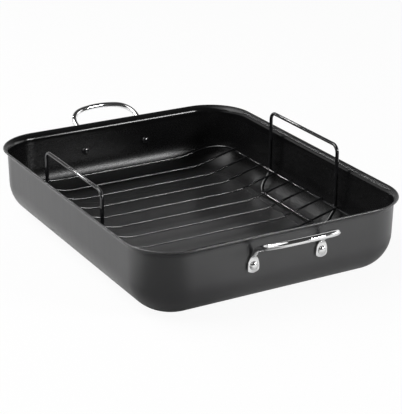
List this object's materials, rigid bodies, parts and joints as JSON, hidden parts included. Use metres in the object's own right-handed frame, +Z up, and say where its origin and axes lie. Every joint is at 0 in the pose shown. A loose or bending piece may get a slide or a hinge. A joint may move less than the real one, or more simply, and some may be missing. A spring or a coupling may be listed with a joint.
{
  "type": "roasting pan with rack",
  "caption": "Deep rectangular roasting pan with a flared lip and riveted rod handles, holding a lift-out wire rack that keeps the roast clear of its drippings.",
  "frame": {"origin": "middle of the pan's flat underside", "axes": "+X across the short side, +Y along the long side towards the back handle, +Z up"},
  "size_m": [0.33, 0.4988, 0.109],
  "materials": {
    "anodised": "satin hard-anodised outside, black non-stick coating inside",
    "stainless": "mirror-polished stainless steel",
    "coated_wire": "gloss black non-stick coating on steel wire"
  },
  "bodies": {
    "pan": {"pan_body": "anodised", "front_handle": "stainless", "back_handle": "stainless", "front_left_rivet": "stainless", "front_right_rivet": "stainless", "back_left_rivet": "stainless", "back_right_rivet": "stainless"},
    "rack": {"rack_frame": "coated_wire", "rack_wire_01": "coated_wire", "rack_wire_02": "coated_wire", "rack_wire_03": "coated_wire", "rack_wire_04": "coated_wire", "rack_wire_05": "coated_wire", "rack_wire_06": "coated_wire", "rack_wire_07": "coated_wire", "rack_wire_08": "coated_wire", "rack_wire_09": "coated_wire", "rack_wire_10": "coated_wire", "rack_left_lift_loop": "coated_wire", "rack_right_lift_loop": "coated_wire"}
  },
  "joints": [
    {"name": "rack_lift", "type": "slide", "parent": "pan", "child": "rack", "axis": [0, 0, 1], "range_m": [0, 0.12]}
  ]
}
